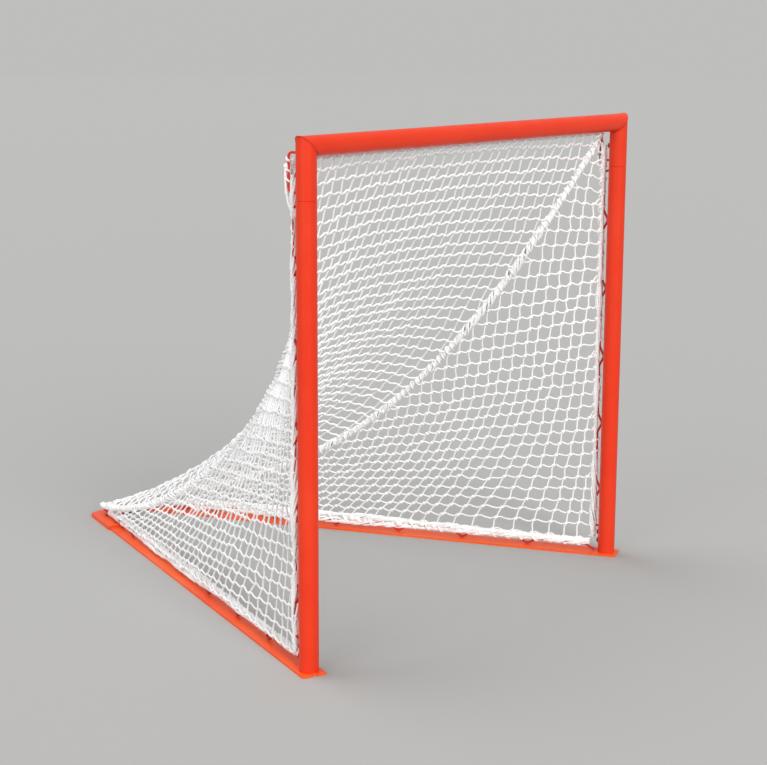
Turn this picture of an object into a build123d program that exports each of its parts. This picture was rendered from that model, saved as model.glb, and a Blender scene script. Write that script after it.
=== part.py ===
from build123d import *
from math import atan, comb, cos, hypot, pi, radians, sin, sqrt, tan
import os

# Box lacrosse goal: bolted tube frame on a flat V-shaped base, with a laced net.
# Millimetres, +Z up, +Y from the mouth to the rear.  The origin is on the ground at the
# centre of the goal's bounding box, so the goal line lies at a negative y.

os.makedirs("parts", exist_ok=True)

# ---- driving dimensions ----
OPENING = 1219.2            # clear width and height of the mouth
DEPTH = 1422.4              # goal line to the rear edge of the base
PIPE_OD = 48.3
PIPE_WALL = 3.2
SLIP_JOINT_DROP = 121.0     # crossbar axis down to the seam in each post
SEAM_CHAMFER = 1.2          # on both tube ends at that seam
RAIL_WIDTH = 63.5
RAIL_THICKNESS = 6.35
RAIL_ANGLE = radians(22.0)  # each rail, turned in from straight back
RAIL_NOSE = 32.0            # rail ahead of the post's axis
NOSE_CORNER = 3.0
STAKE_NOTCH = 8.0
LEG_END = 1353.0            # where the rear corner's legs end, along the rail's centre line
SKIRT = 5.0                 # rear corner's turned-down edge
ROD_R = 3.175
ROD_REACH = 41.5            # lacing rod's axis behind the tube's axis
ROD_BEND = 10.0
V_HALF = 28.0               # half the length of a V-bend
V_SPACING = 195.0
RAIL_ROD_Z = 24.35          # lacing rod's height on the base
RAIL_ROD_FOOT = 200.0       # distance between its feet
BOLT_R = 4.0
SEAM_R = 9.0                # ridge seam
CORD_R = 2.3                # tie cord
NET_THICKNESS = 2.0
NET_EDGE_Z = 1212.0         # the net's top row
NET_HEM_Z = 46.0            # the net's bottom row
LACING = 23.0               # lacing between a rod's axis and the net
CLEARANCE = 0.3

# ---- derived dimensions ----
PIPE_R = PIPE_OD / 2
BORE_R = PIPE_R - PIPE_WALL
POST_X = OPENING / 2 + PIPE_R
CROSSBAR_Z = OPENING + PIPE_R
SEAM_Z = CROSSBAR_Z - SLIP_JOINT_DROP
FITTING_R = BORE_R - CLEARANCE
NOSE_Y = ((RAIL_NOSE - NOSE_CORNER) * cos(RAIL_ANGLE)
          + (RAIL_WIDTH / 2 - NOSE_CORNER) * sin(RAIL_ANGLE) + NOSE_CORNER)
GOAL_LINE = -(DEPTH - NOSE_Y) / 2
SIDES = {"left": -1, "right": 1}


def save(builder, name):
    """Label one finished piece and write it."""
    builder.part.label = name
    export_step(builder.part, f"parts/{name}.step")


def world(x, behind, z):
    """A point given by its distance behind the goal line."""
    return Vector(x, GOAL_LINE + behind, z)


def on_rail(side, along, out=0.0, z=0.0):
    """A point on a base rail: along its centre line from the post's axis, and outwards."""
    x = POST_X - along * sin(RAIL_ANGLE) + out * cos(RAIL_ANGLE)
    return world(side * x, along * cos(RAIL_ANGLE) + out * sin(RAIL_ANGLE), z)


def along_at(behind, out):
    """How far along a rail a line at this outward offset reaches this depth."""
    return (behind - out * sin(RAIL_ANGLE)) / cos(RAIL_ANGLE)


# ---- frame tubes ----
def corner_plane(side):
    """The mitre between the crossbar and a corner leg, facing away from the crossbar."""
    return Plane(origin=world(side * POST_X, 0, CROSSBAR_Z), z_dir=(side, 0, -1))


def back_wall(side, z):
    """A plane on the crown line of a post's back, facing the rear."""
    return Plane(origin=world(side * POST_X, PIPE_R, z), x_dir=(1, 0, 0), z_dir=(0, 1, 0))


def drill_back(side, heights, inner):
    """Clearance holes for bolts through the back wall of a tube of this inner radius."""
    for z in heights:
        with BuildSketch(back_wall(side, z)) as hole:
            Circle(BOLT_R + CLEARANCE)
        extrude(hole.sketch, amount=-(PIPE_R - inner + BOLT_R), mode=Mode.SUBTRACT)


CORNER_BOLT_Z = [CROSSBAR_Z - 65.0]
FOOT_BOLT_Z = [RAIL_THICKNESS + 30.0, RAIL_THICKNESS + 55.0]

with BuildPart() as crossbar:
    with BuildSketch(Plane.YZ.offset(-POST_X - PIPE_OD)):
        with Locations((GOAL_LINE, CROSSBAR_Z)):
            Circle(PIPE_R)
            Circle(BORE_R, mode=Mode.SUBTRACT)
    extrude(amount=2 * (POST_X + PIPE_OD))
    for side in SIDES.values():
        split(bisect_by=corner_plane(side), keep=Keep.BOTTOM)
save(crossbar, "crossbar")

for name, side in SIDES.items():
    with BuildPart() as corner_leg:
        with BuildSketch(Plane(origin=world(side * POST_X, 0, SEAM_Z))):
            Circle(PIPE_R)
            Circle(BORE_R, mode=Mode.SUBTRACT)
        extrude(amount=SLIP_JOINT_DROP + PIPE_OD)
        split(bisect_by=corner_plane(side), keep=Keep.TOP)
        drill_back(side, CORNER_BOLT_Z, BORE_R)
        chamfer(corner_leg.edges().group_by(Axis.Z)[0].sort_by(SortBy.RADIUS)[-1], SEAM_CHAMFER)
    save(corner_leg, f"corner_leg_{name}")

# ---- weld bead round each mitre ----
BEAD_RISE = 1.0
BEAD_HALF = 1.8
for name, side in SIDES.items():
    with BuildPart() as corner_weld:
        with BuildLine() as corner_path:
            Polyline(world(side * (POST_X - PIPE_OD), 0, CROSSBAR_Z), world(side * POST_X, 0, CROSSBAR_Z),
                     world(side * POST_X, 0, CROSSBAR_Z - PIPE_OD))
        with BuildSketch(Plane(origin=corner_path.wire() @ 0, z_dir=(side, 0, 0))):
            Circle(PIPE_R + BEAD_RISE)
            Circle(PIPE_R, mode=Mode.SUBTRACT)
        sweep(transition=Transition.RIGHT)
        split(bisect_by=corner_plane(side).offset(BEAD_HALF), keep=Keep.BOTTOM)
        split(bisect_by=corner_plane(side).offset(-BEAD_HALF), keep=Keep.TOP)
    save(corner_weld, f"corner_weld_{name}")

# ---- slip joint, posts and feet ----
SLEEVE_HALF = 90.0
SLEEVE_WALL = 3.0
SPIGOT_HEIGHT = 85.0
SPIGOT_WALL = 4.0

for name, side in SIDES.items():
    with BuildPart() as joint_sleeve:
        with BuildSketch(Plane(origin=world(side * POST_X, 0, SEAM_Z - SLEEVE_HALF))):
            Circle(FITTING_R)
            Circle(FITTING_R - SLEEVE_WALL, mode=Mode.SUBTRACT)
        extrude(amount=2 * SLEEVE_HALF)
        drill_back(side, CORNER_BOLT_Z, FITTING_R - SLEEVE_WALL)
        chamfer(joint_sleeve.edges().group_by(Axis.Z)[0].sort_by(SortBy.RADIUS)[-1], 1.0)
    save(joint_sleeve, f"joint_sleeve_{name}")

    with BuildPart() as post:
        with BuildSketch(Plane(origin=world(side * POST_X, 0, RAIL_THICKNESS))):
            Circle(PIPE_R)
            Circle(BORE_R, mode=Mode.SUBTRACT)
        extrude(amount=SEAM_Z - RAIL_THICKNESS)
        drill_back(side, FOOT_BOLT_Z, BORE_R)
        chamfer(post.edges().group_by(Axis.Z)[-1].sort_by(SortBy.RADIUS)[-1], SEAM_CHAMFER)
    save(post, f"post_{name}")

    with BuildPart() as foot_spigot:
        with BuildSketch(Plane(origin=world(side * POST_X, 0, RAIL_THICKNESS))):
            Circle(FITTING_R)
            Circle(FITTING_R - SPIGOT_WALL, mode=Mode.SUBTRACT)
        extrude(amount=SPIGOT_HEIGHT)
        drill_back(side, FOOT_BOLT_Z, FITTING_R - SPIGOT_WALL)
        chamfer(foot_spigot.edges().group_by(Axis.Z)[-1].sort_by(SortBy.RADIUS)[-1], 2.0)
    save(foot_spigot, f"foot_spigot_{name}")

# ---- bolts through the tubes' back walls, and the nuts inside ----
HEAD_R = 7.9
HEAD_HEIGHT = 7.5
NUT_FLATS = 13.0
NUT_HEIGHT = 6.5
NUT_CORNER = NUT_FLATS / sqrt(3)
NUT_GAP = 0.2


def seat_depth(bore):
    """How far inside the crown line a nut's corners meet a round bore."""
    return PIPE_R - sqrt(bore ** 2 - NUT_CORNER ** 2) + NUT_GAP


def tube_bolts(heights, bore, name):
    """Round-headed bolts with a hex socket, one solid for each place."""
    depth = seat_depth(bore) + NUT_HEIGHT + 1.0
    with BuildPart() as bolts:
        for side in SIDES.values():
            for z in heights:
                plane = back_wall(side, z)
                with BuildSketch(plane):
                    Circle(HEAD_R)
                extrude(amount=HEAD_HEIGHT)
                with BuildSketch(plane):
                    Circle(BOLT_R)
                extrude(amount=-depth)
        fillet(bolts.edges().group_by(Axis.Y)[-1], HEAD_HEIGHT * 0.55)
        for side in SIDES.values():
            for z in heights:
                with BuildSketch(back_wall(side, z).offset(HEAD_HEIGHT)):
                    RegularPolygon(2.9, 6)
                extrude(amount=-HEAD_HEIGHT / 2, mode=Mode.SUBTRACT)
    save(bolts, name)


def tube_nuts(heights, bore, name):
    """Hex nuts inside the tube, clear of its round wall."""
    with BuildPart() as nuts:
        for side in SIDES.values():
            for z in heights:
                with BuildSketch(back_wall(side, z).offset(-seat_depth(bore))):
                    RegularPolygon(NUT_CORNER, 6)
                    Circle(BOLT_R + 0.05, mode=Mode.SUBTRACT)
                extrude(amount=-NUT_HEIGHT)
    save(nuts, name)


tube_bolts(FOOT_BOLT_Z, FITTING_R - SPIGOT_WALL, "foot_bolts")
tube_nuts(FOOT_BOLT_Z, FITTING_R - SPIGOT_WALL, "foot_nuts")
tube_bolts(CORNER_BOLT_Z, FITTING_R - SLEEVE_WALL, "corner_bolts")
tube_nuts(CORNER_BOLT_Z, FITTING_R - SLEEVE_WALL, "corner_nuts")

# ---- base: two rails and the rear corner that laps over them ----
HALF = RAIL_WIDTH / 2
PLATE_TOP = 2 * RAIL_THICKNESS
CHANNEL = HALF + CLEARANCE
OUTER = CHANNEL + SKIRT
RAIL_REAR = DEPTH - SKIRT - CLEARANCE
INNER_REAR = DEPTH - RAIL_WIDTH
REAR_CORNER_R = 12.0
SCREWS_ALONG = [LEG_END + 30.0, LEG_END + 110.0]
SCREW_HEAD_R = 8.0
SCREW_HEAD_HEIGHT = 4.2


def screw_places():
    """Where the rear corner is screwed to the rails."""
    return [on_rail(side, along) for side in SIDES.values() for along in SCREWS_ALONG]


for name, side in SIDES.items():
    front = [on_rail(side, -RAIL_NOSE, -HALF), on_rail(side, -RAIL_NOSE, HALF)]
    rear = [on_rail(side, along_at(RAIL_REAR, out), out) for out in (HALF, -HALF)]
    with BuildPart() as base_rail:
        with BuildSketch():
            with BuildLine():
                Polyline(*front, *rear, close=True)
            make_face()
            fillet(vertices().sort_by(Axis.Y)[:2], NOSE_CORNER)
            with Locations(on_rail(side, -RAIL_NOSE)):
                Circle(STAKE_NOTCH, mode=Mode.SUBTRACT)
            with Locations([on_rail(side, along) for along in SCREWS_ALONG]):
                Circle(BOLT_R + CLEARANCE, mode=Mode.SUBTRACT)
        extrude(amount=RAIL_THICKNESS)
        chamfer(base_rail.edges().group_by(Axis.Z)[-1].sort_by(SortBy.LENGTH)[-2:], 0.8)
    save(base_rail, f"base_rail_{name}")

REAR_OUTLINE = [(1, LEG_END, OUTER), (1, along_at(DEPTH, OUTER), OUTER),
                (-1, along_at(DEPTH, OUTER), OUTER), (-1, LEG_END, OUTER),
                (-1, LEG_END, -HALF), (-1, along_at(INNER_REAR, -HALF), -HALF),
                (1, along_at(INNER_REAR, -HALF), -HALF), (1, LEG_END, -HALF)]
CHANNEL_REAR = along_at(DEPTH - SKIRT, CHANNEL)
RAIL_CHANNEL = [(1, LEG_END - RAIL_WIDTH, CHANNEL), (1, CHANNEL_REAR, CHANNEL),
                (-1, CHANNEL_REAR, CHANNEL), (-1, LEG_END - RAIL_WIDTH, CHANNEL)]

with BuildPart() as rear_corner:
    with BuildSketch():
        with BuildLine():
            Polyline(*[on_rail(*place) for place in REAR_OUTLINE], close=True)
        make_face()
        fillet(vertices().group_by(Axis.Y)[-1], REAR_CORNER_R)
    extrude(amount=PLATE_TOP)
    fillet(rear_corner.edges().group_by(Axis.Z)[-1], 1.6)
    with BuildSketch():
        with BuildLine():
            Polyline(*[on_rail(*place) for place in RAIL_CHANNEL], close=True)
        make_face()
    extrude(amount=RAIL_THICKNESS + 0.1, mode=Mode.SUBTRACT)
    with Locations([place + Vector(0, 0, PLATE_TOP) for place in screw_places()]):
        CounterSinkHole(BOLT_R + 0.2, SCREW_HEAD_R + 0.2, counter_sink_angle=90)
save(rear_corner, "rear_corner")

with BuildPart() as rear_corner_screws:
    for place in screw_places():
        with Locations(place + Vector(0, 0, PLATE_TOP - 0.2)):
            Cone(BOLT_R - 0.1, SCREW_HEAD_R, SCREW_HEAD_HEIGHT - 0.2,
                 align=(Align.CENTER, Align.CENTER, Align.MAX))
            Cylinder(BOLT_R - 0.1, PLATE_TOP - 1.0, align=(Align.CENTER, Align.CENTER, Align.MAX))
    for place in screw_places():
        with BuildSketch(Plane(origin=place + Vector(0, 0, PLATE_TOP - 0.2))):
            RegularPolygon(2.9, 6)
        extrude(amount=-2.5, mode=Mode.SUBTRACT)
save(rear_corner_screws, "rear_corner_screws")


# ---- lacing rods, bent from round bar ----
def bent_rod(points, radius, name, bend=ROD_BEND):
    """A round bar along straight runs joined by bends of one radius."""
    with BuildPart() as rod:
        with BuildLine() as route:
            FilletPolyline(*points, radius=bend)
        path = route.wire()
        with BuildSketch(Plane(origin=path @ 0, z_dir=path % 0)) as section:
            Circle(radius)
        sweep(section.sketch, path=path)
    save(rod, name)


def v_tip():
    """Where a V-bend's corner lies behind the tube's axis, so that its arc just touches."""
    contact = PIPE_R + ROD_R + 0.05
    slope = atan((ROD_REACH - contact) / V_HALF)
    return contact - ROD_BEND * (1 / cos(slope) - 1)


def laced_run(start, end, first_v):
    """(position, reach) points of a rod: both ends in the tube, V-bends between."""
    points = [(start, PIPE_R + 0.1), (start, ROD_REACH)]
    position = first_v
    while position < end - V_SPACING / 3:
        points += [(position - V_HALF, ROD_REACH), (position, v_tip()), (position + V_HALF, ROD_REACH)]
        position += V_SPACING
    return points + [(end, ROD_REACH), (end, PIPE_R + 0.1)]


POST_ROD_ENDS = (79.0, 1108.0)
POST_ROD_FIRST_V = 190.0
CROSSBAR_ROD_HALF = 585.0
LOOP_Z = (CROSSBAR_Z - 106.0, CROSSBAR_Z - 15.0)
LOOP_REACH = 55.0

crossbar_run = laced_run(-CROSSBAR_ROD_HALF, CROSSBAR_ROD_HALF, -2.5 * V_SPACING)
bent_rod([world(x, reach, CROSSBAR_Z) for x, reach in crossbar_run], ROD_R, "crossbar_lacing_rod")

for name, side in SIDES.items():
    post_run = laced_run(*POST_ROD_ENDS, POST_ROD_FIRST_V)
    bent_rod([world(side * POST_X, reach, z) for z, reach in post_run], ROD_R,
             f"post_lacing_rod_{name}")

    loop = [(PIPE_R + 0.1, LOOP_Z[0]), (LOOP_REACH, LOOP_Z[0]), (LOOP_REACH, LOOP_Z[1]),
            (PIPE_R + 0.1, LOOP_Z[1])]
    bent_rod([world(side * POST_X, reach, z) for reach, z in loop], ROD_R, f"corner_loop_{name}", 12.0)

# rods on the base: sloping ends, and V-feet down to the steel
RAIL_ROD_START = 35.0
RAIL_ROD_END = 1335.0
RAIL_FOOT_HALF = 26.0


def foot_z(surface):
    """Height of a V-foot's corner, so that its arc just touches the steel below."""
    contact = surface + ROD_R + 0.05
    slope = atan((RAIL_ROD_Z - contact) / RAIL_FOOT_HALF)
    return contact - ROD_BEND * (1 / cos(slope) - 1)


for name, side in SIDES.items():
    low = RAIL_THICKNESS + ROD_R + 0.05
    run = [(RAIL_ROD_START, low), (RAIL_ROD_START + 28, RAIL_ROD_Z)]
    along = RAIL_ROD_START + RAIL_ROD_FOOT
    while along < RAIL_ROD_END - RAIL_ROD_FOOT / 3:
        run += [(along - RAIL_FOOT_HALF, RAIL_ROD_Z), (along, foot_z(RAIL_THICKNESS)),
                (along + RAIL_FOOT_HALF, RAIL_ROD_Z)]
        along += RAIL_ROD_FOOT
    run += [(RAIL_ROD_END - 28, RAIL_ROD_Z), (RAIL_ROD_END, low)]
    bent_rod([on_rail(side, along, 0, z) for along, z in run], ROD_R, f"rail_lacing_rod_{name}")

REAR_ROD_START = LEG_END + 14.0
REAR_ROD_BEHIND = DEPTH - 34.0
low = PLATE_TOP + ROD_R + 0.05
right_leg = [on_rail(1, REAR_ROD_START, 0, low), on_rail(1, REAR_ROD_START + 20, 0, RAIL_ROD_Z),
             on_rail(1, along_at(REAR_ROD_BEHIND, 0), 0, RAIL_ROD_Z)]
left_leg = [Vector(-point.X, point.Y, point.Z) for point in reversed(right_leg)]
bent_rod(right_leg + left_leg, ROD_R, "rear_lacing_rod")

# ---- net surfaces ----
RIDGE = [(612, 38, NET_EDGE_Z), (253, 247, 571), (355, 728, 143), (76, 1392, NET_HEM_Z - 8)]
CENTRE = [(0, 40, NET_EDGE_Z), (0, 150, 1190), (0, 240, 470), (0, 1392, NET_HEM_Z - 8)]
ARCH = 2.5                  # how late each row falls away from the centre towards the ridges
SIDE_LAG = 1.25             # how a row's place on the ridge lags its place on the post
STEPS = 240


def bezier(control, u):
    """A point on a Bezier curve given by (x, behind, z) control points."""
    degree = len(control) - 1
    weights = [comb(degree, i) * (1 - u) ** (degree - i) * u ** i for i in range(degree + 1)]
    return tuple(sum(w * point[k] for w, point in zip(weights, control)) for k in range(3))


def even_points(control, fractions):
    """Points at these fractions of a Bezier curve's length."""
    curve = [bezier(control, i / STEPS) for i in range(STEPS + 1)]
    lengths = [0.0]
    for a, b in zip(curve, curve[1:]):
        lengths.append(lengths[-1] + hypot(*(q - p for p, q in zip(a, b))))
    found = []
    for fraction in fractions:
        target = fraction * lengths[-1]
        i = next(i for i in range(1, STEPS + 1) if lengths[i] >= target - 1e-9)
        share = (target - lengths[i - 1]) / (lengths[i] - lengths[i - 1])
        found.append(tuple(p + share * (q - p) for p, q in zip(curve[i - 1], curve[i])))
    return found


def net_sheet(rows, name):
    """A thin closed solid over a grid of points."""
    surface = Face.make_surface_from_array_of_points([[world(*point) for point in row] for row in rows])
    with BuildPart() as sheet:
        thicken(surface, amount=NET_THICKNESS / 2, both=True)
    save(sheet, name)


SEAM_GAP = SEAM_R + 4.0
DOWN = [i / 14 for i in range(15)]
ACROSS = [i / 6 - 1 for i in range(13)]

back_rows = []
for ridge, centre in zip(even_points(RIDGE, DOWN), even_points(CENTRE, DOWN)):
    half = ridge[0] - SEAM_GAP
    fall = [abs(share * half / ridge[0]) ** ARCH for share in ACROSS]
    back_rows.append([(share * half, centre[1] + (ridge[1] - centre[1]) * drop,
                       centre[2] + (ridge[2] - centre[2]) * drop)
                      for share, drop in zip(ACROSS, fall)])
net_sheet(back_rows, "net_back_panel")

BAND_GAP = ROD_R + 1.2      # lacing band, from the rod's axis
BAND_END = LACING - 0.4
SIDE_TOP = 0.06             # the side panel starts where its rows are long enough
SIDE_DOWN = [SIDE_TOP + (1 - SIDE_TOP) * i / 12 for i in range(13)]
SIDE_ACROSS = [i / 8 for i in range(9)]


def side_row(fall):
    """Both ends of a side panel's row: on the post's lacing rod and on the ridge."""
    start = (POST_X, ROD_REACH, NET_EDGE_Z + (NET_HEM_Z - NET_EDGE_Z) * fall)
    return start, even_points(RIDGE, [fall ** SIDE_LAG])[0]


def ridge_gap(fall):
    """How far short of the ridge a side row stops, so that it clears the seam at a narrow angle."""
    start, end = side_row(fall)
    share = fall ** SIDE_LAG
    above, below = even_points(RIDGE, [max(share - 0.01, 0), min(share + 0.01, 1)])
    row = Vector(*end) - Vector(*start)
    lean = radians(row.get_angle(Vector(*below) - Vector(*above)))
    return SEAM_GAP / max(abs(sin(lean)), 0.14)


def between(start, end, near, far, shares):
    """Points along a line, kept this far from its ends."""
    length = hypot(*(q - p for p, q in zip(start, end)))
    spots = [(near + (length - near - far) * share) / length for share in shares]
    return [tuple(p + spot * (q - p) for p, q in zip(start, end)) for spot in spots]


for name, side in SIDES.items():
    rows = [between(*side_row(fall), LACING, ridge_gap(fall), SIDE_ACROSS) for fall in SIDE_DOWN]
    net_sheet([[(side * x, behind, z) for x, behind, z in row] for row in rows], f"net_side_{name}")

    strip = []
    for fall in SIDE_DOWN:
        start, end = side_row(fall)
        length = hypot(*(q - p for p, q in zip(start, end)))
        strip.append(between(start, end, BAND_GAP, length - BAND_END, [0, 0.5, 1]))
    net_sheet([[(side * x, behind, z) for x, behind, z in row] for row in strip],
              f"post_lacing_{name}")


# ---- lacing between the rods and the net: the band that the zigzag cord fills ----
def band(corners, name):
    """A thin closed strip over four corner points: two along the rod, two along the net."""
    net_sheet([corners[:2], corners[2:]], name)


crossbar_half = CROSSBAR_ROD_HALF + 12.0
band([(x, ROD_REACH, z) for z in (CROSSBAR_Z - BAND_GAP, NET_EDGE_Z + CLEARANCE * 5)
      for x in (-crossbar_half, crossbar_half)], "crossbar_lacing")


def behind_line(point):
    """A built point as (x, behind, z)."""
    return (point.X, point.Y - GOAL_LINE, point.Z)


RAIL_BAND_ALONG = (RAIL_ROD_START + 45.0, RAIL_ROD_END - 10.0)
for name, side in SIDES.items():
    edges = [(along, z) for z in (RAIL_ROD_Z + BAND_GAP, NET_HEM_Z - 2.0) for along in RAIL_BAND_ALONG]
    band([behind_line(on_rail(side, along, 0, z)) for along, z in edges], f"rail_lacing_{name}")

REAR_BAND_HALF = 44.0
REAR_BAND_TOP = NET_HEM_Z - 12.0
band([(x, behind, z) for behind, z in ((REAR_ROD_BEHIND, RAIL_ROD_Z + BAND_GAP),
                                       (REAR_ROD_BEHIND + 2.0, REAR_BAND_TOP))
      for x in (-REAR_BAND_HALF, REAR_BAND_HALF)], "rear_lacing")


# ---- ridge seams and corner ties: cords on their real routes ----
def bend_radii(points):
    """The largest bend each corner allows: 0.45 of its shorter run over the half turn's tangent."""
    radii = []
    for before, here, after in zip(points, points[1:], points[2:]):
        turn = radians((here - before).get_angle(after - here))
        radii.append(0.45 * min((here - before).length, (after - here).length) / tan(turn / 2))
    return radii


def cord(points, radius, name):
    """A round cord along straight runs joined by the largest bends that fit."""
    radii = bend_radii(points)
    print(name, "bend radii", [round(r) for r in radii])
    with BuildPart() as tube:
        with BuildLine() as route:
            FilletPolyline(*points, radius=radii)
        path = route.wire()
        with BuildSketch(Plane(origin=path @ 0, z_dir=path % 0)) as section:
            Circle(radius)
        sweep(section.sketch, path=path)
    print(name, "volume share", round(tube.part.volume / (pi * radius ** 2 * path.length), 3))
    save(tube, name)


SEAM_STOPS = [0.012, 0.11, 0.23, 0.35, 0.47, 0.59, 0.71, 0.83, 0.93, 0.995]
for name, side in SIDES.items():
    ridge = [world(side * x, behind, z) for x, behind, z in even_points(RIDGE, SEAM_STOPS)]
    cord(ridge, SEAM_R, f"ridge_seam_{name}")

    tie = [(POST_X, 61.4, 1146), (POST_X - 1, 61.8, 1168), (POST_X - 3, 61.2, 1190), (POST_X - 9, 59, 1208)]
    cord([world(side * x, behind, z) for x, behind, z in tie], CORD_R, f"corner_tie_{name}")
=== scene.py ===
"""Looks of a box lacrosse goal: a painted tube frame, a knotted white net and the cord
that laces it on.  Metres, +Z up, +Y from the mouth to the rear, origin on the ground.
"""

from math import cos, pi, radians, sin

import bpy
import numpy as np
from mathutils import Matrix, Vector


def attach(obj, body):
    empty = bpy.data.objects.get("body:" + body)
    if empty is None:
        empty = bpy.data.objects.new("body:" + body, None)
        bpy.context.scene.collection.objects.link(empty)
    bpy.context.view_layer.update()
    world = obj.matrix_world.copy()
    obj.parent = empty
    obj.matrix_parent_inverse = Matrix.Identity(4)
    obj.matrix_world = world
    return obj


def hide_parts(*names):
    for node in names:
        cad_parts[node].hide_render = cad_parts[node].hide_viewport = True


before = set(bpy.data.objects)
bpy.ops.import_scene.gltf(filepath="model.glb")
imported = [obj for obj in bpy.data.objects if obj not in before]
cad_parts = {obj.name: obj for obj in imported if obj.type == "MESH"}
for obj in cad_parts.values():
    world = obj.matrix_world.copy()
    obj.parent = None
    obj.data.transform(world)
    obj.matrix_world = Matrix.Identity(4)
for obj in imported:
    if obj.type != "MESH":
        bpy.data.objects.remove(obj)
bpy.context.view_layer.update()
scene = bpy.context.scene
chance = np.random.RandomState(11)

# ---- the frame's sizes ----
GOAL_LINE = -0.690871         # y of the posts' axes; "behind" is measured from here
POST_X = 0.63375
CROSSBAR_Z = 1.24335
RAIL_ANGLE = radians(22.0)    # each base rail, turned in from straight back
ROD_REACH = 0.0415            # lacing rod's axis, behind its tube's axis
V_HALF = 0.028                # half the length of a bend in a lacing rod
V_SPACING = 0.195
POST_FIRST_V = 0.190
CROSSBAR_FIRST_V = -2.5 * V_SPACING
RAIL_ROD_Z = 0.02435
RAIL_START, RAIL_END = 0.050, 1.335
REAR_ROD_BEHIND = 1.3884
REAR_LEG_START = 1.345        # rear rod, from here along one rail round to the other
REAR_BEND = 0.055             # its corner starts this far before the end of the rail's leg
REAR_HALF = 0.050             # half of its straight part across the rear

# ---- the net's sizes: curves in (x, behind, z) ----
NET_TOP = 1.212
NET_HEM = 0.038
RIDGE = [(0.612, 0.038, 1.212), (0.253, 0.247, 0.571), (0.355, 0.728, 0.143), (0.076, 1.392, 0.038)]
CENTRE = [(0, 0.040, 1.212), (0, 0.150, 1.190), (0, 0.240, 0.470), (0, 1.392, 0.038)]
ARCH = 2.5                    # how late a back row falls away from the centre
MESH = 0.0381                 # one side of a cell
ROW_STEP = 0.0403             # back panel's rows, along the ridge
GATHER = ([0.0, 0.42, 0.75, 1.0], [1.0, 1.0, 0.78, 0.62])    # its cells narrow towards the rear
FULLER = ([0.0, 0.45, 1.0], [1.0, 1.0, 1.3])                 # and its cord is fuller there
SIDE_LAG = 1.25               # a side row's place on the ridge lags its place on the post
SIDE_ROW = 0.0358             # side panel's rows, down the post
SIDE_CELL = 0.0325            # and its cells along a row
SIDE_LEAN = 0.0055            # how far its columns lean back in one row
HEM = 0.0115                  # its gathered edge, from the rod's axis
EDGE_GAP = 0.010              # a new column starts no nearer than this to the ridge
JOIN_GAP = 0.008              # and a column that comes this near ends on it
CORD_R = 0.0024
BACK_KNOT = 0.0042
SIDE_KNOT = 0.0043
LACE_R = 0.0027
LACED_HALF = 0.597            # half of the laced run under the crossbar


def bezier(control, count=400):
    """Points along a Bezier curve of four (x, behind, z) places."""
    u = np.linspace(0, 1, count)[:, None]
    a, b, c, d = (np.array(place, float) for place in control)
    return a * (1 - u) ** 3 + 3 * b * u * (1 - u) ** 2 + 3 * c * u ** 2 * (1 - u) + d * u ** 3


def along(path, shares):
    """Points at these shares of a path's length."""
    path = np.asarray(path, float)
    steps = np.linalg.norm(np.diff(path, axis=0), axis=1)
    travelled = np.concatenate([[0], np.cumsum(steps)])
    wanted = np.asarray(shares) * travelled[-1]
    return np.stack([np.interp(wanted, travelled, path[:, k]) for k in range(3)], axis=1)


def length(path):
    return float(np.linalg.norm(np.diff(np.asarray(path), axis=0), axis=1).sum())


def on_rail(distance, z, side=1):
    """A place above a base rail's centre line, as (x, behind, z)."""
    return np.array([side * (POST_X - distance * sin(RAIL_ANGLE)), distance * cos(RAIL_ANGLE), z])


ridge_path = bezier(RIDGE)
centre_path = bezier(CENTRE)
ridge_length = length(ridge_path)


# ---- cords: centre lines with a thickness, and the knots on them ----
class Cords:
    """Centre lines and knots of one piece."""

    def __init__(self):
        self.points, self.edges, self.thick, self.knot, self.turn = [], [], [], [], []

    def line(self, path, thick):
        """A cord along a path."""
        path = np.asarray(path, float)
        first = len(self.points)
        self.points += [tuple(p) for p in path]
        self.thick += list(np.broadcast_to(thick, len(path)))
        self.knot += [False] * len(path)
        self.turn += [(1.0, 0.0, 0.0)] * len(path)
        self.edges += [(first + i, first + i + 1) for i in range(len(path) - 1)]

    def tie(self, place, size, direction):
        """A knot, longest in this direction."""
        self.points.append(tuple(place))
        self.thick.append(size)
        self.knot.append(True)
        self.turn.append(tuple(direction))

    def mirrored(self):
        """The same cords on the goal's other side."""
        other = Cords()
        other.points = [(-x, y, z) for x, y, z in self.points]
        other.edges, other.thick, other.knot = list(self.edges), list(self.thick), list(self.knot)
        other.turn = [(-x, y, z) for x, y, z in self.turn]
        return other


SWAY = np.array([-0.93, -0.35, 0.95, 0.0])    # a span's bend at each quarter of its length


def spans(nodes, sway, sideways=(0, 0, 1)):
    """A cord from knot to knot: each span leaves its knot low and comes into the next one high."""
    nodes = np.asarray(nodes, float)
    found = [nodes[:1]]
    cuts = len(SWAY)
    for a, b in zip(nodes, nodes[1:]):
        share = (np.arange(cuts) + 1)[:, None] / cuts
        size = min(np.linalg.norm(b - a) / MESH, 1) * sway * chance.uniform(0.7, 1.3)
        found.append(a + (b - a) * share + np.outer(SWAY * size, sideways))
    return np.concatenate(found)


def drift(count, step, amount):
    """Slow random values: smoothed noise along a path."""
    raw = chance.uniform(-1, 1, count // step + 4)
    return amount * np.interp(np.arange(count) / step, np.arange(len(raw)), raw)


def frames(path, hint):
    """Two directions across a path, square to it and to each other."""
    tangent = np.gradient(path, axis=0)
    tangent /= np.linalg.norm(tangent, axis=1)[:, None]
    across = np.cross(tangent, hint)
    across /= np.linalg.norm(across, axis=1)[:, None]
    return across, np.cross(across, tangent)


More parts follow.
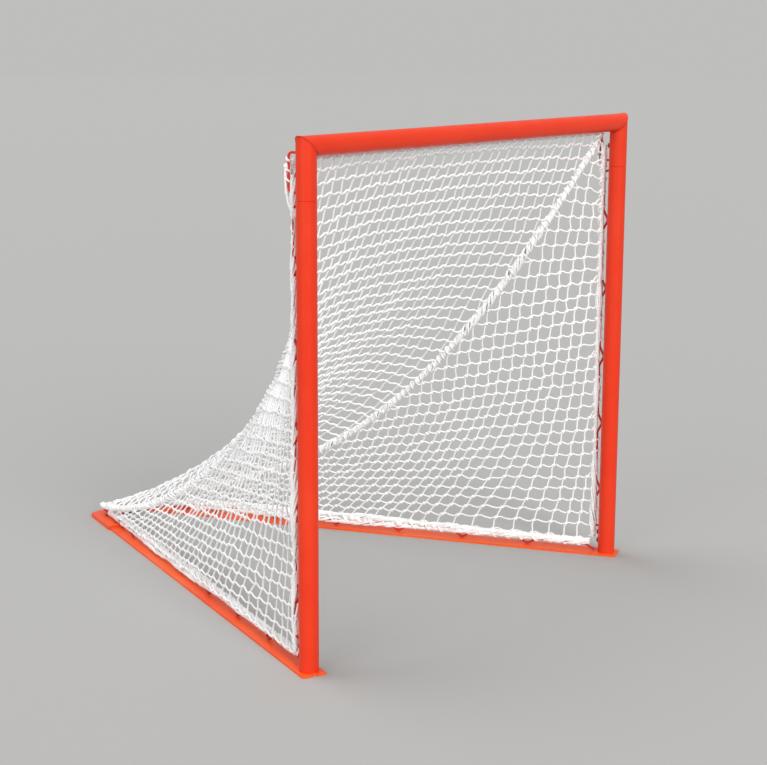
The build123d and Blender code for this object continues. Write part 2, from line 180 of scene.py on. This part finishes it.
def bundle(cords, path, strands, spread, pitch, thick, hint=(0, 0, 1), uneven=0.35, step=0.006):
    """Strands gathered and twisted along a path, fuller in some places than in others."""
    total = length(path)
    count = max(int(total / step), 8)
    line = along(path, np.linspace(0, 1, count))
    across, upright = frames(line, np.array(hint, float))
    run = np.linspace(0, total, count)
    fullness = 1 + drift(count, 9, uneven)
    for strand in range(strands):
        angle = 2 * pi * (run / pitch + strand / strands) + drift(count, 12, 0.7)
        reach = spread * fullness * (0.8 + drift(count, 7, 0.3))
        cords.line(line + across * (reach * np.cos(angle))[:, None]
                   + upright * (reach * np.sin(angle))[:, None], thick * (1 + drift(count, 5, 0.12)))


def loops(cords, rod, edge, pitch, pad, thick, hold=None, step=10):
    """A lace wound round a rod and a net's edge; hold(share) is 0 where it leaves the rod."""
    total = length(rod)
    turns = max(round(total / pitch), 1)
    count = turns * step + 1
    share = np.linspace(0, 1, count)
    share = np.clip(share + drift(count, step * 2, 0.18 / turns), 0, 1)
    from_rod, to_edge = along(rod, share), along(edge, share)
    if hold is not None:
        from_rod = to_edge + (from_rod - to_edge) * np.array([[hold(s)] for s in share])
    centre = (from_rod + to_edge) / 2
    gap = np.linalg.norm(from_rod - to_edge, axis=1)
    outward = to_edge - along(rod, share)
    outward /= np.linalg.norm(outward, axis=1)[:, None]
    tangent = np.gradient(along(rod, np.linspace(0, 1, count)), axis=0)
    tangent /= np.linalg.norm(tangent, axis=1)[:, None]
    normal = np.cross(tangent, outward)
    normal /= np.linalg.norm(normal, axis=1)[:, None]
    angle = 2 * pi * np.linspace(0, turns, count)
    reach = gap / 2 + pad + drift(count, step, pad * 0.25)
    cords.line(centre + outward * (reach * np.cos(angle))[:, None]
               + normal * (pad * np.sin(angle))[:, None], thick)


def clear_of_bends(place, first, gap):
    """1 where a lace winds round a rod, 0 where the rod bends away to its tube."""
    nearest = abs((place - first + V_SPACING / 2) % V_SPACING - V_SPACING / 2)
    return float(np.clip((nearest - V_HALF * gap) / (V_HALF * 0.6), 0, 1))


# ---- node groups: what the finishes share ----
def put(tree, kind, link=None, **settings):
    """A node with its settings; link maps an input's name or number to a socket or a value."""
    node = tree.nodes.new(kind)
    for key, value in settings.items():
        setattr(node, key, value)
    for key, value in (link or {}).items():
        if isinstance(value, bpy.types.NodeSocket):
            tree.links.new(value, node.inputs[key])
        else:
            node.inputs[key].default_value = value
    return node


def group(name, inputs, outputs, kind="ShaderNodeTree"):
    """An empty node group with its named sockets; returns it with its two end nodes."""
    tree = bpy.data.node_groups.new(name, kind)
    for label, socket, value in inputs:
        made = tree.interface.new_socket(name=label, in_out="INPUT", socket_type=socket)
        if value is not None:
            made.default_value = value
    for label, socket in outputs:
        tree.interface.new_socket(name=label, in_out="OUTPUT", socket_type=socket)
    return tree, tree.nodes.new("NodeGroupInput"), tree.nodes.new("NodeGroupOutput")


def paint_wear_group():
    """Powder coat: orange peel, faded patches, rubbed places and small chips."""
    tree, given, out = group(
        "paint_wear",
        [("Chips", "NodeSocketFloat", 0.5), ("Peel", "NodeSocketFloat", 0.4)],
        [("Fade", "NodeSocketFloat"), ("Chipped", "NodeSocketFloat"), ("Roughness", "NodeSocketFloat"),
         ("Height", "NodeSocketFloat")])
    place = put(tree, "ShaderNodeTexCoord").outputs["Object"]
    fade = put(tree, "ShaderNodeTexNoise", {"Vector": place, "Scale": 3.2, "Detail": 6.0, "Roughness": 0.6})
    fade = put(tree, "ShaderNodeMapRange", {"Value": fade.outputs["Fac"], "From Min": 0.35, "From Max": 0.68})
    peel = put(tree, "ShaderNodeTexNoise", {"Vector": place, "Scale": 420.0, "Detail": 2.0})
    broad = put(tree, "ShaderNodeTexNoise", {"Vector": place, "Scale": 26.0, "Detail": 5.0})
    fine = put(tree, "ShaderNodeTexNoise", {"Vector": place, "Scale": 150.0, "Detail": 4.0, "Roughness": 0.7})
    both = put(tree, "ShaderNodeMath", {0: broad.outputs["Fac"], 1: fine.outputs["Fac"]},
               operation="MULTIPLY")
    limit = put(tree, "ShaderNodeMath", {0: given.outputs["Chips"], 1: -0.14, 2: 0.52},
                operation="MULTIPLY_ADD")
    over = put(tree, "ShaderNodeMath", {0: both.outputs[0], 1: limit.outputs[0]}, operation="SUBTRACT")
    chips = put(tree, "ShaderNodeMath", {0: over.outputs[0], 1: 90.0}, operation="MULTIPLY", use_clamp=True)
    rough = put(tree, "ShaderNodeMapRange", {"Value": broad.outputs["Fac"], "From Min": 0.3, "From Max": 0.7,
                                             "To Min": 0.30, "To Max": 0.46})
    raised = put(tree, "ShaderNodeMath", {0: peel.outputs["Fac"], 1: given.outputs["Peel"]},
                 operation="MULTIPLY")
    height = put(tree, "ShaderNodeMath", {0: raised.outputs[0], 1: chips.outputs[0]}, operation="SUBTRACT")
    for name, socket in (("Fade", fade.outputs[0]), ("Chipped", chips.outputs[0]),
                         ("Roughness", rough.outputs[0]), ("Height", height.outputs[0])):
        tree.links.new(socket, out.inputs[name])
    return tree


def cord_lay_group():
    """Twisted cord: slanting plies along the cord with painted shade in the grooves between them, loose
    fibres and a little dirt.
    """
    tree, given, out = group(
        "cord_lay",
        [("Plies", "NodeSocketFloat", 300.0), ("Dirt", "NodeSocketFloat", 0.3)],
        [("Shade", "NodeSocketFloat"), ("Dirty", "NodeSocketFloat"), ("Height", "NodeSocketFloat")])
    place = put(tree, "ShaderNodeTexCoord").outputs["Object"]
    run = put(tree, "ShaderNodeAttribute", attribute_name="along").outputs["Fac"]
    fibre = put(tree, "ShaderNodeTexNoise", {"Vector": place, "Scale": 900.0, "Detail": 3.0})
    turn = put(tree, "ShaderNodeMath", {0: run, 1: given.outputs["Plies"]}, operation="MULTIPLY")
    loose = put(tree, "ShaderNodeMath", {0: fibre.outputs["Fac"], 1: 2.0, 2: turn.outputs[0]},
                operation="MULTIPLY_ADD")
    ply = put(tree, "ShaderNodeMath", {0: loose.outputs[0]}, operation="SINE")
    ply = put(tree, "ShaderNodeMapRange", {"Value": ply.outputs[0], "From Min": -1.0, "From Max": 1.0})
    height = put(tree, "ShaderNodeMath", {0: fibre.outputs["Fac"], 1: 0.4, 2: ply.outputs[0]},
                 operation="MULTIPLY_ADD")
    # painted shade: the colour darkens in the grooves between the plies
    shade = put(tree, "ShaderNodeMapRange", {"Value": ply.outputs[0], "To Min": 0.86, "To Max": 1.0})
    stain = put(tree, "ShaderNodeTexNoise", {"Vector": place, "Scale": 5.0, "Detail": 6.0})
    dirty = put(tree, "ShaderNodeMapRange", {"Value": stain.outputs["Fac"],
                                             "From Min": 0.45, "From Max": 0.8})
    dirty = put(tree, "ShaderNodeMath", {0: dirty.outputs[0], 1: given.outputs["Dirt"]}, operation="MULTIPLY")
    for name, socket in (("Shade", shade.outputs[0]), ("Dirty", dirty.outputs[0]),
                         ("Height", height.outputs[0])):
        tree.links.new(socket, out.inputs[name])
    return tree


paint_wear = paint_wear_group()
cord_lay = cord_lay_group()


def blank(name):
    """A material with only its shader, its output and nothing linked."""
    material = bpy.data.materials.new(name)
    material.use_nodes = True
    tree = material.node_tree
    return material, tree, tree.nodes["Principled BSDF"]


def two_colours(tree, factor, first, second):
    """A mix of two colours; either may be a socket."""
    return put(tree, "ShaderNodeMix", {0: factor, 6: first, 7: second}, data_type="RGBA").outputs[2]


def painted(name, fresh, faded, bare, chips=0.5, peel=0.4, ripple=0.0):
    """Powder-coated steel.  A ripple is the stacked rings of a weld bead."""
    material, tree, shader = blank(name)
    wear = put(tree, "ShaderNodeGroup", node_tree=paint_wear)
    wear.inputs["Chips"].default_value = chips
    wear.inputs["Peel"].default_value = peel
    colour = two_colours(tree, wear.outputs["Fade"], fresh, faded)
    colour = two_colours(tree, wear.outputs["Chipped"], colour, bare)
    tree.links.new(colour, shader.inputs["Base Color"])
    tree.links.new(wear.outputs["Roughness"], shader.inputs["Roughness"])
    height = wear.outputs["Height"]
    if ripple:
        place = put(tree, "ShaderNodeTexCoord").outputs["Object"]
        rings = put(tree, "ShaderNodeTexWave", {"Vector": place, "Scale": ripple, "Distortion": 2.0},
                    bands_direction="Y").outputs["Fac"]
        height = put(tree, "ShaderNodeMath", {0: rings, 1: 3.0, 2: height},
                     operation="MULTIPLY_ADD").outputs[0]
    bump = put(tree, "ShaderNodeBump", {"Strength": 0.25, "Distance": 0.0004, "Height": height})
    tree.links.new(bump.outputs[0], shader.inputs["Normal"])
    shader.inputs["Specular IOR Level"].default_value = 0.27
    shader.inputs["Coat Weight"].default_value = 0.05
    shader.inputs["Coat Roughness"].default_value = 0.22
    return material


def corded(name, clean, dirty, plies, dirt):
    """White nylon cord, its colour darkened in the ply grooves as painted shade."""
    material, tree, shader = blank(name)
    lay = put(tree, "ShaderNodeGroup", node_tree=cord_lay)
    lay.inputs["Plies"].default_value = plies
    lay.inputs["Dirt"].default_value = dirt
    colour = two_colours(tree, lay.outputs["Dirty"], clean, dirty)
    # painted shade: the cord's colour is mixed towards a darker white in its ply grooves
    groove_shaded = two_colours(tree, lay.outputs["Shade"], [0.75 * c for c in clean[:3]] + [1], colour)
    tree.links.new(groove_shaded, shader.inputs["Base Color"])
    bump = put(tree, "ShaderNodeBump", {"Strength": 0.5, "Distance": 0.0006, "Height": lay.outputs["Height"]})
    tree.links.new(bump.outputs[0], shader.inputs["Normal"])
    shader.inputs["Roughness"].default_value = 0.62
    shader.inputs["Sheen Weight"].default_value = 0.15
    return material


def brushed(name, light, dark):
    """Bare steel tube, brushed round."""
    material, tree, shader = blank(name)
    place = put(tree, "ShaderNodeTexCoord").outputs["Object"]
    stretched = put(tree, "ShaderNodeMapping", {"Vector": place, "Scale": (4.0, 4.0, 900.0)}).outputs[0]
    lines = put(tree, "ShaderNodeTexNoise", {"Vector": stretched, "Scale": 1.0, "Detail": 4.0}).outputs["Fac"]
    tree.links.new(two_colours(tree, lines, dark, light), shader.inputs["Base Color"])
    rough = put(tree, "ShaderNodeMapRange", {"Value": lines, "To Min": 0.22, "To Max": 0.45}).outputs[0]
    tree.links.new(rough, shader.inputs["Roughness"])
    shader.inputs["Metallic"].default_value = 1.0
    return material


PRIMER = (0.62, 0.60, 0.57, 1)
BOLT_STEEL = (0.35, 0.33, 0.31, 1)
frame_paint = painted("frame_paint", (0.70, 0.028, 0.004, 1), (0.74, 0.042, 0.008, 1), PRIMER, 0.3)
# The lacing rods get the frame's red darkened: painted shade for rods that sit under the net.
shaded_rod_paint = painted("shaded_rod_paint", (0.44, 0.016, 0.006, 1), (0.54, 0.026, 0.010, 1), PRIMER, 0.4)
# The base rails and rear corner get the frame's red made lighter and more orange: painted light from above.
top_lit_base_paint = painted("top_lit_base_paint", (0.80, 0.072, 0.009, 1), (0.86, 0.125, 0.020, 1), PRIMER, 0.6)
weld_paint = painted("weld_paint", (0.52, 0.020, 0.008, 1), (0.64, 0.030, 0.010, 1), PRIMER, 0.2, 0.3, 60.0)
bolt_paint = painted("bolt_paint", (0.30, 0.014, 0.010, 1), (0.42, 0.030, 0.018, 1), BOLT_STEEL, 0.7)
bare_steel = brushed("bare_steel", (0.66, 0.66, 0.65, 1), (0.40, 0.40, 0.41, 1))
net_white = corded("net_white", (0.90, 0.91, 0.92, 1), (0.70, 0.70, 0.67, 1), 900.0, 0.18)
lace_white = corded("lace_white", (0.92, 0.93, 0.93, 1), (0.68, 0.67, 0.62, 1), 700.0, 0.22)

FINISH = [("corner_weld", weld_paint), ("joint_sleeve", bare_steel), ("foot_spigot", bare_steel),
          ("base_rail", top_lit_base_paint), ("rear_corner_screws", bolt_paint), ("rear_corner", top_lit_base_paint),
          ("foot_bolts", bolt_paint), ("foot_nuts", bolt_paint), ("corner_bolts", bolt_paint),
          ("corner_nuts", bolt_paint), ("corner_loop", frame_paint), ("post_lacing_rod", shaded_rod_paint),
          ("crossbar_lacing_rod", shaded_rod_paint), ("rail_lacing_rod", shaded_rod_paint),
          ("rear_lacing_rod", shaded_rod_paint), ("crossbar", frame_paint), ("corner_leg", frame_paint),
          ("post", frame_paint)]
for name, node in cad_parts.items():
    for start, material in FINISH:
        if name.startswith(start):
            for slot in node.material_slots:
                slot.material = material
            break


# ---- one node tree turns centre lines into round cord and puts the knots on ----
def cord_tree():
    """Round cord along each centre line, and a knot on every marked point."""
    tree, given, out = group(
        "lay_cord",
        [("Geometry", "NodeSocketGeometry", None), ("Sides", "NodeSocketInt", 6),
         ("Knot length", "NodeSocketFloat", 1.5), ("Cord", "NodeSocketMaterial", None)],
        [("Geometry", "NodeSocketGeometry")], "GeometryNodeTree")
    knot = put(tree, "GeometryNodeInputNamedAttribute", {"Name": "knot"}, data_type="BOOLEAN").outputs[0]
    parted = put(tree, "GeometryNodeSeparateGeometry", {"Geometry": given.outputs["Geometry"],
                                                        "Selection": knot}, domain="POINT")
    thick = put(tree, "GeometryNodeInputNamedAttribute", {"Name": "thick"}, data_type="FLOAT").outputs[0]
    curve = put(tree, "GeometryNodeMeshToCurve", {0: parted.outputs[1]}).outputs[0]
    curve = put(tree, "GeometryNodeSetCurveRadius", {"Curve": curve, "Radius": thick}).outputs[0]
    run = put(tree, "GeometryNodeSplineParameter").outputs["Length"]
    curve = put(tree, "GeometryNodeStoreNamedAttribute", {"Geometry": curve, "Name": "along", "Value": run},
                data_type="FLOAT", domain="POINT").outputs[0]
    round_section = put(tree, "GeometryNodeCurvePrimitiveCircle", {"Resolution": given.outputs["Sides"],
                                                                   "Radius": 1.0}).outputs[0]
    radius = put(tree, "GeometryNodeInputRadius").outputs[0]
    tube = put(tree, "GeometryNodeCurveToMesh", {"Curve": curve, "Profile Curve": round_section,
                                                 "Scale": radius, "Fill Caps": True}).outputs[0]
    lump = put(tree, "GeometryNodeMeshUVSphere", {"Segments": 7, "Rings": 4, "Radius": 1.0}).outputs[0]
    place = put(tree, "GeometryNodeInputPosition").outputs[0]
    uneven = put(tree, "ShaderNodeTexNoise", {"Vector": place, "Scale": 1.7, "Detail": 1.0}).outputs["Color"]
    push = put(tree, "ShaderNodeVectorMath", {0: uneven, 1: (0.5, 0.5, 0.5)}, operation="SUBTRACT").outputs[0]
    lump = put(tree, "GeometryNodeSetPosition", {"Geometry": lump, "Offset": push}).outputs[0]
    turn = put(tree, "GeometryNodeInputNamedAttribute", {"Name": "turn"}, data_type="FLOAT_VECTOR").outputs[0]
    facing = put(tree, "FunctionNodeAlignRotationToVector", {"Vector": turn}, axis="X").outputs[0]
    long_way = put(tree, "ShaderNodeMath", {0: thick, 1: given.outputs["Knot length"]}, operation="MULTIPLY")
    size = put(tree, "ShaderNodeCombineXYZ", {0: long_way.outputs[0], 1: thick, 2: thick}).outputs[0]
    knots = put(tree, "GeometryNodeInstanceOnPoints", {"Points": parted.outputs[0], "Instance": lump,
                                                       "Rotation": facing, "Scale": size}).outputs[0]
    joined = put(tree, "GeometryNodeJoinGeometry")
    tree.links.new(knots, joined.inputs[0])
    tree.links.new(tube, joined.inputs[0])
    whole = put(tree, "GeometryNodeRealizeInstances", {0: joined.outputs[0]}).outputs[0]
    whole = put(tree, "GeometryNodeSetShadeSmooth", {"Geometry": whole}).outputs[0]
    whole = put(tree, "GeometryNodeSetMaterial", {"Geometry": whole,
                                                  "Material": given.outputs["Cord"]}).outputs[0]
    tree.links.new(whole, out.inputs["Geometry"])
    return tree


lay_cord = cord_tree()


def make(name, cords, material, nodes, sides=6, knot_length=1.5):
    """Lay one piece's cords, turn them into a plain mesh and hand it to the frame."""
    mesh = bpy.data.meshes.new(name)
    places = np.array(cords.points) + np.array([0, GOAL_LINE, 0])
    mesh.from_pydata(places.tolist(), cords.edges, [])
    for label, kind, values, field in (("thick", "FLOAT", cords.thick, "value"),
                                       ("knot", "BOOLEAN", cords.knot, "value"),
                                       ("turn", "FLOAT_VECTOR", cords.turn, "vector")):
        mesh.attributes.new(label, kind, "POINT").data.foreach_set(field, np.ravel(values))
    piece = bpy.data.objects.new(name, mesh)
    scene.collection.objects.link(piece)
    modifier = piece.modifiers.new("lay_cord", "NODES")
    modifier.node_group = lay_cord
    sockets = {item.name: item.identifier for item in lay_cord.interface.items_tree
               if item.in_out == "INPUT"}
    modifier[sockets["Sides"]] = sides
    modifier[sockets["Knot length"]] = knot_length
    modifier[sockets["Cord"]] = material
    graph = bpy.context.evaluated_depsgraph_get()
    finished = bpy.data.meshes.new_from_object(piece.evaluated_get(graph), depsgraph=graph)
    piece.modifiers.clear()
    piece.data = finished
    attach(piece, "root")
    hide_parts(*nodes)
    return piece


# ---- back panel ----
def back_row(share):
    """One row of the back panel: ridge to ridge, arched between them."""
    edge, middle = along(ridge_path, [share])[0], along(centre_path, [share])[0]

    def at(x):
        fall = (abs(x) / edge[0]) ** ARCH
        return np.array([x, *(middle[1:] + (edge[1:] - middle[1:]) * fall)])

    return at, edge


back = Cords()
columns = {}                  # the knots down each column, by its number from the centre
reach = int(POST_X / MESH)    # columns on each side of the centre
shares = list(np.arange(0, ridge_length - 0.012, ROW_STEP) / ridge_length) + [1.0]
for n, share in enumerate(shares):
    at, edge = back_row(share)
    cell = MESH * np.interp(share, *GATHER)
    reach = min(int((edge[0] - EDGE_GAP) / cell), reach)
    row = [at(-edge[0])]
    for i in range(-reach, reach + 1):
        place = at(i * cell)
        if 0 < n < len(shares) - 1:
            place = place + np.append(chance.normal(0, 0.0016, 1), chance.normal(0, 0.0018, 2))
        row.append(place)
        columns.setdefault(i, []).append(place)
        back.tie(place, BACK_KNOT, (1, 0.0, chance.uniform(-0.5, 0.5)))
    row.append(at(edge[0]))
    back.line(spans(row, 0.0030), CORD_R * 1.15 * np.interp(share, *FULLER))
for i, places in columns.items():
    if len(places) < len(shares):
        meeting = along(ridge_path, [shares[len(places)] - 0.4 * ROW_STEP / ridge_length])[0]
        places = places + [meeting * [np.sign(i), 1, 1]]
    path = spans(places, 0.0012, (1, 0, 0))
    back.line(path, CORD_R * 0.9 * np.interp(np.linspace(0, len(places) / len(shares), len(path)), *FULLER))
make("back_netting", back, net_white, ["net_back_panel"])


# ---- side panels; a fall is how far down the post a row starts, from 0 to 1 ----
def side_row(fall):
    """Both ends of a side panel's row: on the post's rod and on the ridge."""
    start = np.array([POST_X, ROD_REACH, NET_TOP + (NET_HEM - NET_TOP) * fall])
    return start, along(ridge_path, [fall ** SIDE_LAG])[0]


def row_edge(fall):
    """Where a side row meets its laced edge."""
    start, end = side_row(fall)
    return start + (end - start) * (HEM / max(np.linalg.norm(end - start), HEM))


side_falls = np.arange(0.05, 0.985, SIDE_ROW / (NET_TOP - NET_HEM))


def side_panel():
    """Knots run down from row to row; where the rows crowd, the columns lean back."""
    cords = Cords()
    runs = {}
    before = None
    newest = -1
    for fall in np.append(side_falls, 1.0):
        start, end = side_row(fall)
        total = np.linalg.norm(end - start)
        heading = (end - start) / total
        places = {}
        if before is not None:
            old_start, old_heading, old_places, old_fall = before
            between = (fall + old_fall) / 2
            for key, distance in old_places.items():
                fallen = np.linalg.norm((start + heading * distance) - (old_start + old_heading * distance))
                crowding = np.sqrt(max(SIDE_ROW ** 2 - fallen ** 2, 0)) * 0.85
                places[key] = distance + SIDE_LEAN + crowding * min(distance / 0.3, 1)
            if min(places.values(), default=total) > HEM + 1.4 * SIDE_CELL:
                newest += 1
                places[newest] = min(places.values(), default=HEM + 2 * SIDE_CELL) - SIDE_CELL
                runs[newest] = [row_edge(between)]
        last = max(places.values()) if places else HEM
        while last + SIDE_CELL < total - EDGE_GAP:
            last += SIDE_CELL
            newest += 1
            places[newest] = last
            if before is not None:
                runs[newest] = [along(ridge_path, [between ** SIDE_LAG])[0]]
        row = [row_edge(fall)]
        for key, distance in sorted(places.items(), key=lambda pair: pair[1]):
            if distance > total - JOIN_GAP:
                runs.setdefault(key, []).append(end)
                continue
            place = start + heading * distance + chance.normal(0, 0.0017, 3)
            row.append(place)
            runs.setdefault(key, []).append(place)
            cords.tie(place, SIDE_KNOT, (heading[0], heading[1], heading[2] + chance.uniform(-0.5, 0.5)))
        row.append(end)
        cords.line(spans(row, 0.0036), CORD_R)
        before = (start, heading, {key: d for key, d in places.items() if d <= total - JOIN_GAP}, fall)
    for run in runs.values():
        if len(run) > 1:
            cords.line(spans(run, 0.0015, (0.4, -0.9, 0)), CORD_R)
    return cords


netting = side_panel()
make("side_netting_right", netting, net_white, ["net_side_right"])
make("side_netting_left", netting.mirrored(), net_white, ["net_side_left"])


# ---- ridge seams: the panels' edge cords laced together ----
def ridge_seam():
    """The edge cords in a loose twist, a lace wound round them, and the knots it catches."""
    cords = Cords()
    path = ridge_path[4:]
    bundle(cords, path, strands=10, spread=0.0074, pitch=0.085, thick=LACE_R * 1.1, hint=(1, 0, 0),
           uneven=0.55)
    run = along(path, np.linspace(0, 1, int(length(path) / 0.0024)))
    across, upright = frames(run, np.array([1.0, 0, 0]))
    count = len(run)
    angle = 2 * pi * np.linspace(0, length(path) / 0.019, count) + drift(count, 30, 1.2)
    reach = 0.0092 + drift(count, 14, 0.0026)
    cords.line(run + across * (reach * np.cos(angle))[:, None] + upright * (reach * np.sin(angle))[:, None],
               LACE_R * 0.9)
    for share in np.arange(0.02, 0.985, MESH / ridge_length):
        place = along(path, [share])[0]
        cords.tie(place + chance.normal(0, 0.0025, 3), chance.uniform(0.0050, 0.0078), (0.3, 0.5, -0.8))
    return cords


seam = ridge_seam()
make("ridge_lacing_right", seam, lace_white, ["ridge_seam_right"], 5, 1.3)
make("ridge_lacing_left", seam.mirrored(), lace_white, ["ridge_seam_left"], 5, 1.3)


# ---- crossbar: the top row and its lace ----
top = Cords()
edge = [(-LACED_HALF, 0.0395, NET_TOP + 0.002), (0, 0.0405, NET_TOP), (LACED_HALF, 0.0395, NET_TOP + 0.002)]
rod = [(-LACED_HALF, ROD_REACH, CROSSBAR_Z), (LACED_HALF, ROD_REACH, CROSSBAR_Z)]
bundle(top, edge, strands=2, spread=0.0018, pitch=0.05, thick=CORD_R, uneven=0.5)
loops(top, rod, edge, pitch=MESH, pad=0.0050, thick=CORD_R,
      hold=lambda share: clear_of_bends(LACED_HALF * (2 * share - 1), CROSSBAR_FIRST_V, 0.5))
make("crossbar_lace", top, lace_white, ["crossbar_lacing"], 5)


# ---- posts: the side panel's gathered edge and its lace ----
def post_edge(hug):
    """The edge cords lie this close to the rod: 0 is on it, 1 is at the net."""
    cords = Cords()
    falls = np.linspace(0.03, 0.995, 60)
    edge = np.array([row_edge(fall) for fall in falls])
    rod = np.array([side_row(fall)[0] for fall in falls])
    bundle(cords, edge * hug + rod * (1 - hug), strands=12, spread=0.0062, pitch=0.240,
           thick=LACE_R * 1.15, hint=(1, 0, 0), uneven=0.6)
    top_z, low_z = rod[0][2], rod[-1][2]
    loops(cords, rod, edge, pitch=SIDE_ROW, pad=0.0054, thick=LACE_R * 0.9,
          hold=lambda share: clear_of_bends(top_z + (low_z - top_z) * share, POST_FIRST_V, 0.55))
    for fall in side_falls:
        cords.tie(row_edge(fall), 0.0062, (0.4, 0.4, -0.8))
    return cords


make("post_lace_right", post_edge(0.45), lace_white, ["post_lacing_right"], 5)
make("post_lace_left", post_edge(0.2).mirrored(), lace_white, ["post_lacing_left"], 5)


# ---- base rails: the bottom hem, wound to the rod ----
def rail_edge():
    """Two bundles, over and round the rod; they part and cover more of it towards the rear."""
    cords = Cords()
    run = np.linspace(RAIL_START, RAIL_END, 40)
    rise = np.interp(run, (0.3, 0.7), (0.009, 0.016))
    drop = np.interp(run, (0.3, 0.7), (-0.004, 0.003))
    hem = np.array([on_rail(distance, RAIL_ROD_Z + up) for distance, up in zip(run, rise)])
    low = np.array([on_rail(distance, RAIL_ROD_Z - down) for distance, down in zip(run, drop)])
    rod = np.array([on_rail(distance, RAIL_ROD_Z) for distance in run])
    bundle(cords, hem, strands=8, spread=0.0060, pitch=0.110, thick=LACE_R * 1.2, uneven=0.6)
    bundle(cords, low, strands=7, spread=0.0056, pitch=0.140, thick=LACE_R * 1.2, uneven=0.6)
    loops(cords, rod, hem, pitch=0.0430, pad=0.0056, thick=LACE_R * 1.1)
    rail_heading = on_rail(1, 0) - on_rail(0, 0)
    for distance in np.arange(RAIL_START + 0.010, RAIL_END, 0.0185):
        place = on_rail(distance, RAIL_ROD_Z + 0.008) + chance.normal(0, 0.0024, 3)
        cords.tie(place, chance.uniform(0.0055, 0.0085), rail_heading)
    return cords


hemming = rail_edge()
make("rail_lace_right", hemming, lace_white, ["rail_lacing_right"], 5)
make("rail_lace_left", hemming.mirrored(), lace_white, ["rail_lacing_left"], 5)


# ---- rear corner: heavy cord round the rod ----
rear = Cords()
leg = (REAR_ROD_BEHIND - 0.004) / cos(RAIL_ANGLE)
rear_half = np.array([on_rail(REAR_LEG_START, RAIL_ROD_Z), on_rail(leg - REAR_BEND, RAIL_ROD_Z),
                      [REAR_HALF, REAR_ROD_BEHIND, RAIL_ROD_Z]])
rear_rod = np.concatenate([rear_half, rear_half[::-1] * [-1, 1, 1]])
rear_hem = rear_rod + np.array([0, -0.014, 0.0070])
bundle(rear, rear_hem, strands=7, spread=0.0058, pitch=0.07, thick=LACE_R * 1.2, uneven=0.4)
loops(rear, rear_rod, rear_hem, pitch=0.0105, pad=0.0080, thick=LACE_R * 1.2)
make("rear_lace", rear, lace_white, ["rear_lacing"], 5)


# ---- upper corners: ties from the loop to the net ----
def corner_ties():
    """Turns round the corner loop, cords to the net's corner, and the lace's hanging tails."""
    cords = Cords()
    down = np.array([(POST_X, 0.055, 1.150), (POST_X, 0.055, 1.220)])
    beside = down + np.array([-0.012, 0.004, 0])
    loops(cords, down, beside, pitch=0.0230, pad=0.0060, thick=LACE_R)
    corner = np.array([POST_X - 0.012, 0.052, 1.205])
    for target in ((0.612, 0.040, 1.212), (0.600, 0.046, 1.178), (POST_X - 0.010, 0.058, 1.120)):
        path = along([corner, (corner + target) / 2 + [0, 0.004, -0.006], target], np.linspace(0, 1, 8))
        cords.line(path, LACE_R)
    for offset in (-0.004, 0.001, 0.006):
        tail = [(POST_X + offset, 0.060, 1.196), (POST_X + offset / 2, 0.0615, 1.135),
                (POST_X - 0.004 + offset / 3, 0.050, 1.095), (POST_X - 0.006, 0.0445, 1.055)]
        cords.line(along(tail, np.linspace(0, 1, 16)) + chance.normal(0, 0.0006, (16, 3)), LACE_R)
    cords.tie(corner, 0.0075, (1, 0, 0.5))
    cords.tie((POST_X + 0.001, 0.0595, 1.196), 0.0068, (1, 0, 0.2))
    return cords


ties = corner_ties()
make("corner_lace_right", ties, lace_white, ["corner_tie_right"], 6)
make("corner_lace_left", ties.mirrored(), lace_white, ["corner_tie_left"], 6)


# ---- floor, light and camera ----
bpy.ops.mesh.primitive_circle_add(vertices=96, radius=40, fill_type="NGON")
floor = bpy.context.object
floor.name = "floor"
material, tree, shader = blank("floor_plain")
grain = put(tree, "ShaderNodeTexNoise", {"Scale": 3.0, "Detail": 4.0}).outputs["Fac"]
tree.links.new(two_colours(tree, grain, (0.383, 0.383, 0.380, 1), (0.397, 0.397, 0.394, 1)),
               shader.inputs["Base Color"])
shader.inputs["Roughness"].default_value = 0.85
floor.data.materials.append(material)

world = bpy.data.worlds.new("studio")
world.use_nodes = True
world.node_tree.nodes["Background"].inputs["Color"].default_value = (1.0, 0.995, 0.985, 1)
world.node_tree.nodes["Background"].inputs["Strength"].default_value = 0.52
scene.world = world


def soft_light(name, direction, strength, spread, colour):
    """Even light from far off, as wide in the sky as its spread."""
    lamp = bpy.data.lights.new(name, "SUN")
    lamp.angle = radians(spread)
    lamp.energy = strength
    lamp.color = colour
    made = bpy.data.objects.new(name, lamp)
    made.rotation_euler = Vector(direction).to_track_quat("-Z", "Y").to_euler()
    made.location = (0, 0, 3)
    scene.collection.objects.link(made)


soft_light("key", (0.32, 0.80, -0.40), 2.0, 22, (1.0, 0.99, 0.97))
soft_light("top", (0.10, -0.35, -0.90), 1.3, 30, (1.0, 0.99, 0.97))
soft_light("fill", (0.90, 0.10, -0.32), 1.0, 40, (0.98, 0.99, 1.0))

yaw, pitch, roll = radians(49.491), radians(-11.714), radians(0.202)
forward = Vector((sin(yaw) * cos(pitch), cos(yaw) * cos(pitch), sin(pitch)))
level = Vector((cos(yaw), -sin(yaw), 0))
upward = level.cross(forward)
right = level * cos(roll) + upward * sin(roll)
upward = upward * cos(roll) - level * sin(roll)
camera_data = bpy.data.cameras.new("camera")
camera_data.lens = 83.25
camera_data.sensor_width = 36.0
camera = bpy.data.objects.new("camera", camera_data)
camera.matrix_world = Matrix.Translation((-3.5532, -3.4148, 1.5323)) @ Matrix(
    (right, upward, -forward)).transposed().to_4x4()
scene.collection.objects.link(camera)
scene.camera = camera
scene.view_settings.view_transform = "Standard"
